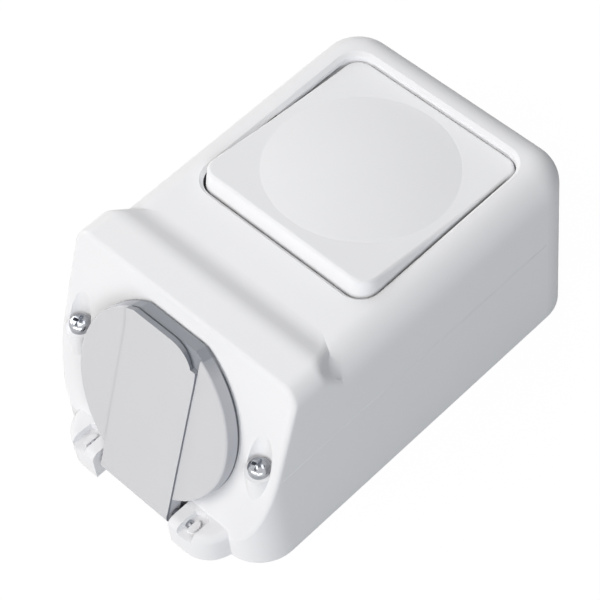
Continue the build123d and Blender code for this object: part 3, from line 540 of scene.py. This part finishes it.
@dataclass
class Housing(SubAssembly):
    """Hood, wall base, seal, screws and grommet."""

    title: str = "housing"
    body: str = "housing"
    finishes: dict[str, Finish] = field(default_factory=lambda: {
        "front_cover": COVER_ABS,
        "base_plate": BASE_PC,
        "cover_gasket": RUBBER,
        "cover_screws": ZINC_STEEL,
        "cable_grommet": RUBBER,
        "hinge_pin": ZINC_STEEL,
        "lid_spring": ZINC_STEEL,
    })
    # Witness lines on the long sides
    side_x: float = 36.0 * MM
    line_z: float = 29.5 * MM
    line_ends: tuple[float, float] = (-45.0 * MM, 44.0 * MM)
    line_width: float = 0.22 * MM
    line_proud: float = 0.05 * MM
    line_bevel: float = 0.02 * MM
    # Skirt under the rocker frame, its heights from the rocker's pivot
    skirt_thickness: float = 0.4 * MM
    skirt_low: float = 0.5 * MM
    skirt_high: float = 3.8 * MM
    # The hump's right corner facet and the rounded edge of the switch half, as in the solids
    facet_point: Vector = field(default_factory=lambda: Vector((31.0, -25.8, 54.7)) * MM)
    facet_normal: Vector = field(
        default_factory=lambda: Vector((0.64, 0.56, 0.53)).normalized()
    )
    edge_x: float = 28.5 * MM
    edge_z: float = 44.0 * MM
    edge_radius: float = 7.5 * MM
    # Soft hollow between the two: the ball that shapes it, its range round the edge as shares of a
    # quarter turn, how fast it shrinks to its ends, and how deep its back is sunk
    blend_radius: float = 7.0 * MM
    blend_range: tuple[float, float] = (0.22, 0.76)
    blend_taper: float = 1.5
    blend_steps: int = 28
    blend_sunk: float = 0.3 * MM
    blend_weld: float = 0.005 * MM

    def blend_place(self, along: float, across: float) -> tuple[Vector, Vector]:
        """Find a point of the hollow that a ball leaves on its way along a facet's crease.

        Args:
            along: share of the way, from the side wall up to the top.
            across: share of the hollow's width, from the rounded edge to the facet.

        Returns:
            The point on the right side of the housing, and the direction out of the hollow.
        """
        low, high = self.blend_range
        angle = (low + (high - low) * along) * math.pi / 2
        radius = self.blend_radius * max(math.sin(math.pi * along), 0.0) ** self.blend_taper + WELD
        outward = Vector((math.cos(angle), 0.0, math.sin(angle)))
        normal = self.facet_normal
        ball = Vector((self.edge_x, self.facet_point.y, self.edge_z))
        ball += (self.edge_radius + radius) * outward
        ball.y += (radius - normal.dot(ball - self.facet_point)) / normal.y
        return ball - radius * outward.slerp(normal, across), (outward + normal).normalized()

    def build_blends(self) -> None:
        """Make the soft hollows where the hump's corner facets meet the switch half."""
        mesh = bmesh.new()
        for side in (-1, 1):
            made = bmesh.ops.create_grid(
                mesh, x_segments=self.blend_steps, y_segments=self.blend_steps // 2, size=0.5,
            )
            front = list({face for vert in made["verts"] for face in vert.link_faces})
            back = bmesh.ops.extrude_face_region(mesh, geom=front, use_keep_orig=True)["geom"]
            sunk = {item for item in back if isinstance(item, bmesh.types.BMVert)}
            for vert in [*made["verts"], *sunk]:
                place, outward = self.blend_place(vert.co.x + 0.5, vert.co.y + 0.5)
                if vert in sunk:
                    place -= self.blend_sunk * outward
                vert.co = Vector((side * place.x, place.y, place.z))
        bmesh.ops.remove_doubles(mesh, verts=mesh.verts, dist=self.blend_weld)
        bmesh.ops.recalc_face_normals(mesh, faces=mesh.faces)
        self.add("corner_blends", mesh, COVER_ABS, "white_cover")

    def build_skirt(self) -> None:
        """Make the skirt under the rocker frame, along its left, far and right walls."""
        height = self.skirt_high - self.skirt_low
        inner = OPENING_HALF - OPENING_TURN
        start = Vector((
            -OPENING_HALF - self.skirt_thickness / 2, -inner, self.skirt_low + height / 2,
        ))
        legs = [Vector((0, 2 * inner, 0)), Vector((2 * inner, 0, 0)), Vector((0, -2 * inner, 0))]
        centres = [Vector((-inner, inner, 0)), Vector((inner, inner, 0))]
        mesh = draw_bar(start, self.skirt_thickness, height, legs, centres)
        self.add("frame_skirt", mesh, COVER_ABS, "white_cover")

    def build_mould_lines(self) -> None:
        """Make the witness lines that the mould leaves along the long sides."""
        mesh = bmesh.new()
        middle = (self.line_ends[0] + self.line_ends[1]) / 2
        length = self.line_ends[1] - self.line_ends[0]
        for side in (-1, 1):
            place = Matrix.Translation((side * self.side_x, middle, self.line_z))
            size = Matrix.Diagonal((2 * self.line_proud, length, self.line_width, 1.0))
            made = bmesh.ops.create_cube(mesh, size=1.0, matrix=place @ size)
            edges = {edge for vert in made["verts"] for edge in vert.link_edges}
            bmesh.ops.bevel(
                mesh, geom=list(edges), offset=self.line_bevel, affect="EDGES",
                segments=2, profile=0.5, material=-1,
            )
        self.add("mould_lines", mesh, COVER_ABS, "white_cover")

    def build(self) -> None:
        """Make the skirt, the soft hollows and the mould's witness lines."""
        self.build_skirt()
        self.build_blends()
        self.build_mould_lines()


@dataclass
class SocketInsert(SubAssembly):
    """What closes the plug well, with its contacts, shutters and middle screw."""

    title: str = "socket insert"
    body: str = "housing"
    finishes: dict[str, Finish] = field(default_factory=lambda: {
        "well_sleeve": UREA,
        "contact_block": UREA,
        "live_contact": BRASS,
        "neutral_contact": BRASS,
        "earth_strap": BRASS,
        "socket_terminal_screws": ZINC_STEEL,
    })
    floor_depth: float = 17.5 * MM
    pin_spacing: float = 19.0 * MM
    shutter_radius: float = 2.5 * MM
    shutter_depth: float = 1.6 * MM
    shutter_thickness: float = 1.8 * MM
    shutter_slope: float = math.radians(25)
    shutter_bevel: float = 0.25 * MM
    shutter_sides: int = 40
    head_radius: float = 3.1 * MM
    head_height: float = 1.5 * MM
    head_bevel: float = 0.6 * MM
    head_sides: int = 48
    recess_arm: float = 2.0 * MM
    recess_width: float = 0.8 * MM
    recess_depth: float = 0.9 * MM
    recess_turn: float = math.radians(35)

    def build_shutters(self) -> None:
        """Make the sloped shutters that close the pin holes until a plug pushes them aside."""
        mesh = bmesh.new()
        for side in (-1, 1):
            place = Matrix.Translation((side * self.pin_spacing / 2, 0, -self.shutter_depth))
            made = bmesh.ops.create_cone(
                mesh, cap_ends=True, segments=self.shutter_sides, radius1=self.shutter_radius,
                radius2=self.shutter_radius, depth=self.shutter_thickness,
            )
            top = [vert for vert in made["verts"] if vert.co.z > 0]
            lean = Matrix.Identity(4)
            lean[2][0] = side * math.tan(self.shutter_slope) / 2
            bmesh.ops.transform(mesh, matrix=lean, verts=top)
            place = face_frame(-self.floor_depth) @ place
            bmesh.ops.transform(mesh, matrix=place, verts=made["verts"])
            rim = [edge for edge in mesh.edges if all(vert in top for vert in edge.verts)]
            bmesh.ops.bevel(
                mesh, geom=rim, offset=self.shutter_bevel, affect="EDGES", segments=3,
                profile=0.5, material=-1,
            )
        self.add("pin_shutters", mesh, ACETAL, "plunger_plastic")

    def build_middle_screw(self) -> None:
        """Make the head of the screw in the middle of the well, with its cross recess."""
        mesh = bmesh.new()
        bmesh.ops.create_cone(
            mesh, cap_ends=True, segments=self.head_sides, radius1=self.head_radius,
            radius2=self.head_radius, depth=self.head_height,
        )
        rim = [edge for edge in mesh.edges if all(vert.co.z > 0 for vert in edge.verts)]
        bmesh.ops.bevel(
            mesh, geom=rim, offset=self.head_bevel, affect="EDGES", segments=4, profile=0.5,
            material=-1,
        )
        half = self.recess_width / 2
        for axis in ((1, 0, 0), (0, 1, 0)):
            for place in (-self.recess_arm, -half, half, self.recess_arm):
                top = [face for face in mesh.faces if face.normal.z > FLAT]
                bounds = {edge for face in top for edge in face.edges}
                corners = {vert for face in top for vert in face.verts}
                bmesh.ops.bisect_plane(
                    mesh, geom=[*top, *bounds, *corners], plane_co=Vector(axis) * place,
                    plane_no=axis,
                )
        cross = []
        for face in mesh.faces:
            middle = face.calc_center_median()
            near_x = abs(middle.x) < half
            near_y = abs(middle.y) < half
            inside = abs(middle.x) < self.recess_arm and abs(middle.y) < self.recess_arm
            if face.normal.z > FLAT and inside and (near_x or near_y):
                cross.append(face)
        sunk = bmesh.ops.extrude_face_region(mesh, geom=cross)["geom"]
        bottom = [item for item in sunk if isinstance(item, bmesh.types.BMVert)]
        bmesh.ops.translate(mesh, verts=bottom, vec=(0, 0, -self.recess_depth))
        bmesh.ops.delete(mesh, geom=cross, context="FACES_ONLY")
        lift = Matrix.Translation((0, 0, self.head_height / 2))
        turn = Matrix.Rotation(self.recess_turn, 4, "Z")
        place = face_frame(-self.floor_depth) @ lift @ turn
        bmesh.ops.transform(mesh, matrix=place, verts=mesh.verts)
        self.add("middle_screw", mesh, ZINC_STEEL, "plated_steel")

    def build(self) -> None:
        """Make the shutters and the screw head on the floor of the well."""
        self.build_shutters()
        self.build_middle_screw()


@dataclass
class SwitchWorks(SubAssembly):
    """Tub, contacts and screws under the rocker."""

    title: str = "switch works"
    body: str = "housing"
    finishes: dict[str, Finish] = field(default_factory=lambda: {
        "switch_base": UREA,
        "switch_screws": ZINC_STEEL,
        "feed_contact": BRASS,
        "load_contact": BRASS,
        "switch_terminal_screws": ZINC_STEEL,
        "moving_contact": BRASS,
    })
    # Thin dark strip on the frame's wall that paints shade into the gap round the rocker; its
    # heights and far end from the rocker's pivot
    gap_shade_thickness: float = 0.12 * MM
    gap_shade_low: float = 1.0 * MM
    gap_shade_high: float = 4.9 * MM
    gap_shade_far: float = 22.0 * MM

    def build(self) -> None:
        """Make the thin dark strip that paints shade into the gap on the frame's wall, along the
        near end and the right side.
        """
        height = self.gap_shade_high - self.gap_shade_low
        inner = OPENING_HALF - OPENING_TURN
        start = Vector((
            OPENING_HALF - self.gap_shade_thickness / 2, self.gap_shade_far, self.gap_shade_low + height / 2,
        ))
        legs = [
            Vector((0, -inner - self.gap_shade_far, 0)),
            Vector((-2 * inner, 0, 0)),
            Vector((0, inner, 0)),
        ]
        centres = [Vector((inner, -inner, 0)), Vector((-inner, -inner, 0))]
        # This piece is a dark strip put where there is only shade in the rocker's gap: painted
        # shade
        mesh = draw_bar(start, self.gap_shade_thickness, height, legs, centres)
        self.add("frame_gap_shade", mesh, RUBBER, "seal_rubber")


@dataclass
class RockerCap(SubAssembly):
    """Domed cap with its cradle and sprung plunger."""

    title: str = "rocker"
    body: str = "rocker"
    finishes: dict[str, Finish] = field(default_factory=lambda: {
        "rocker": ROCKER_ABS,
        "rocker_cradle": UREA,
        "plunger": ACETAL,
        "plunger_spring": ZINC_STEEL,
    })


@dataclass
class Lid(SubAssembly):
    """Grey lid with its seal."""

    title: str = "lid"
    body: str = "lid"
    finishes: dict[str, Finish] = field(default_factory=lambda: {
        "socket_lid": LID_PP,
        "lid_seal": RUBBER,
    })
    # The lip's front as in the solid, then its left end: its box, the disc's outline that cuts it,
    # and the directions of the cuts; all from the middle of the plug well
    lip_start: float = 13.8 * MM
    lip_foot: float = 5.4 * MM
    lip_bend: float = 37.37 * MM
    lip_under: float = 5.01 * MM
    end_left: float = -11.4 * MM
    end_right: float = -4.0 * MM
    end_low: float = 17.9 * MM
    end_high: float = 22.79 * MM
    end_radius: float = 24.4 * MM
    end_sunk: float = 0.01 * MM
    end_cells: tuple[int, int] = (12, 10)
    end_cuts: int = 9
    cut_from: float = math.radians(108)
    cut_step: float = math.radians(2.5)

    def lip_height(self, slope: float) -> float:
        """Height of the lip's front, which bends away from the face.

        Args:
            slope: place up the slope, from the middle of the well.

        Returns:
            Its height out of the face.
        """
        rise = slope - self.lip_start
        return self.lip_foot + self.lip_bend - math.sqrt(self.lip_bend ** 2 - rise ** 2)

    def build(self) -> None:
        """Make the left end of the lip, which follows the disc's outline and has no hook."""
        mesh = bmesh.new()
        middle = (
            (self.end_left + self.end_right) / 2,
            (self.end_low + self.end_high) / 2,
            self.lip_under,
        )
        size = (self.end_right - self.end_left, self.end_high - self.end_low, 1.0, 1.0)
        place = Matrix.Translation(middle) @ Matrix.Diagonal(size)
        columns, rows = self.end_cells
        bmesh.ops.create_grid(mesh, x_segments=columns, y_segments=rows, size=0.5, matrix=place)
        for step in range(self.end_cuts):
            angle = self.cut_from + self.cut_step * step
            outward = Vector((math.cos(angle), math.sin(angle), 0.0))
            bmesh.ops.bisect_plane(
                mesh, geom=[*mesh.verts, *mesh.edges, *mesh.faces],
                plane_co=outward * self.end_radius, plane_no=outward, clear_outer=True,
            )
        raised = bmesh.ops.extrude_face_region(mesh, geom=list(mesh.faces), use_keep_orig=True)
        for item in raised["geom"]:
            if isinstance(item, bmesh.types.BMVert):
                item.co.z = self.lip_height(item.co.y) - self.end_sunk
        bmesh.ops.recalc_face_normals(mesh, faces=mesh.faces)
        bmesh.ops.transform(mesh, matrix=face_frame(0.0), verts=mesh.verts)
        self.add("lip_end", mesh, LID_PP, "grey_lid")


@dataclass(frozen=True)
class Lamp:
    """A square soft box that looks at the object."""

    name: str
    place: tuple[float, float, float]
    side: float
    watts: float
    colour: tuple[float, float, float] = (1.0, 1.0, 1.0)

    def build(self, target: Vector) -> None:
        """Place the lamp.

        Args:
            target: the point that it looks at.
        """
        light = bpy.data.lights.new(self.name, "AREA")
        light.shape = "SQUARE"
        light.size = self.side
        light.energy = self.watts
        light.color = self.colour
        lamp = bpy.data.objects.new(self.name, light)
        lamp.location = self.place
        aim = target - Vector(self.place)
        lamp.rotation_euler = aim.to_track_quat("-Z", "Y").to_euler()
        bpy.context.scene.collection.objects.link(lamp)


@dataclass(frozen=True)
class Viewpoint:
    """The photograph's camera, in metres and degrees."""

    place: tuple[float, float, float] = (0.261186, -0.215808, 0.474503)
    azimuth: float = 50.881
    elevation: float = 53.244
    roll: float = -7.655
    lens: float = 141.442
    sensor: float = 36.0
    clip: tuple[float, float] = (0.01, 20.0)

    def build(self) -> None:
        """Make the scene's camera."""
        azimuth, elevation, roll = (
            math.radians(angle) for angle in (self.azimuth, self.elevation, self.roll)
        )
        back = Vector((
            math.sin(azimuth) * math.cos(elevation),
            -math.cos(azimuth) * math.cos(elevation),
            math.sin(elevation),
        ))
        right = Vector((math.cos(azimuth), math.sin(azimuth), 0.0))
        up = back.cross(right)
        level_right = math.cos(roll) * right + math.sin(roll) * up
        level_up = math.cos(roll) * up - math.sin(roll) * right
        turn = Matrix((level_right, level_up, back)).transposed()
        data = bpy.data.cameras.new("photograph camera")
        data.sensor_fit = "HORIZONTAL"
        data.sensor_width = self.sensor
        data.lens = self.lens
        data.clip_start, data.clip_end = self.clip
        camera = bpy.data.objects.new("photograph camera", data)
        camera.matrix_world = Matrix.Translation(self.place) @ turn.to_4x4()
        bpy.context.scene.collection.objects.link(camera)
        bpy.context.scene.camera = camera


@dataclass
class Studio:
    """Plain pale floor, white surroundings, soft boxes and the camera."""

    floor_side: float = 6.0
    floor_drop: float = 0.1 * MM
    floor_colour: str = "#A8A8A8"
    floor_share: float = 0.88
    floor_glow: float = 1.1
    sky: float = 0.01
    sky_colour: tuple[float, float, float, float] = (0.92, 0.96, 1.0, 1.0)
    lamps: list[Lamp] = field(default_factory=lambda: [
        Lamp("upper front soft box", (-0.07, -0.63, 0.7), 0.6, 5.15, (1.0, 0.975, 0.945)),
        Lamp("left soft box", (-1.1, 0.0, 0.6), 0.7, 5.5),
        Lamp("back left soft box", (-0.8, 0.6, 0.8), 0.7, 5.0, (0.95, 0.975, 1.0)),
        Lamp("upper right soft box", (0.95, -0.75, 0.7), 0.9, 9.7, (0.93, 0.963, 1.0)),
    ])
    target: tuple[float, float, float] = (0.0, 0.0, 0.03)
    view: Viewpoint = field(default_factory=Viewpoint)

    def seen_directly(self, tree: bpy.types.NodeTree) -> bpy.types.NodeSocket:
        """Tell the rays that see the surroundings from those that light the object.

        Args:
            tree: node tree that takes the nodes.

        Returns:
            A socket that is one for camera, glossy and transmission rays.
        """
        path = add_node(tree, "ShaderNodeLightPath")
        first = add_node(tree, "ShaderNodeMath", {"operation": "MAXIMUM"}, {
            0: path.outputs["Is Camera Ray"], 1: path.outputs["Is Glossy Ray"],
        })
        both = add_node(tree, "ShaderNodeMath", {"operation": "MAXIMUM"}, {
            0: first.outputs[0], 1: path.outputs["Is Transmission Ray"],
        })
        return both.outputs[0]

    def build_world(self) -> None:
        """Make even sky light that looks white when it is seen directly."""
        world = bpy.data.worlds.new("studio walls")
        world.use_nodes = True
        tree = world.node_tree
        tree.nodes.clear()
        seen = self.seen_directly(tree)
        light = add_node(tree, "ShaderNodeBackground", None, {
            "Color": self.sky_colour, "Strength": self.sky,
        })
        white = add_node(tree, "ShaderNodeBackground", None, {
            "Color": (1.0, 1.0, 1.0, 1.0), "Strength": 1.0,
        })
        mix = add_node(tree, "ShaderNodeMixShader", None, {
            0: seen, 1: light.outputs[0], 2: white.outputs[0],
        })
        add_node(tree, "ShaderNodeOutputWorld", None, {"Surface": mix.outputs[0]})
        bpy.context.scene.world = world

    def build_floor(self) -> None:
        """Make the floor that the part lies on."""
        material = bpy.data.materials.new("Matt white studio floor")
        material.use_nodes = True
        tree = material.node_tree
        tree.nodes.clear()
        matt = add_node(tree, "ShaderNodeBsdfDiffuse", None, {"Color": linear(self.floor_colour)})
        glow = add_node(tree, "ShaderNodeEmission", None, {"Strength": self.floor_glow})
        seen = self.seen_directly(tree)
        share = add_node(tree, "ShaderNodeMath", {"operation": "MULTIPLY"}, {
            0: seen, 1: self.floor_share,
        })
        mix = add_node(tree, "ShaderNodeMixShader", None, {
            0: share.outputs[0], 1: matt.outputs[0], 2: glow.outputs[0],
        })
        add_node(tree, "ShaderNodeOutputMaterial", None, {"Surface": mix.outputs[0]})
        bpy.ops.mesh.primitive_plane_add(size=self.floor_side, location=(0, 0, 0))
        floor = bpy.context.object
        floor.name = "studio_floor"
        floor.data.materials.append(material)
        floor.data.transform(Matrix.Translation((0, 0, -self.floor_drop)))

    def build(self) -> None:
        """Make the whole studio."""
        bpy.context.scene.view_settings.view_transform = "Standard"
        self.build_world()
        self.build_floor()
        for lamp in self.lamps:
            lamp.build(Vector(self.target))
        self.view.build()


def main() -> None:
    """Load the solids, dress them group by group and set up the studio."""
    logging.basicConfig(level=logging.INFO, format="%(message)s")
    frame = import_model()
    for group in (Housing(), SocketInsert(), SwitchWorks(), RockerCap(), Lid()):
        group.dress(frame["nodes"])
        group.build()
    Studio().build()


if __name__ == "__main__":
    main()
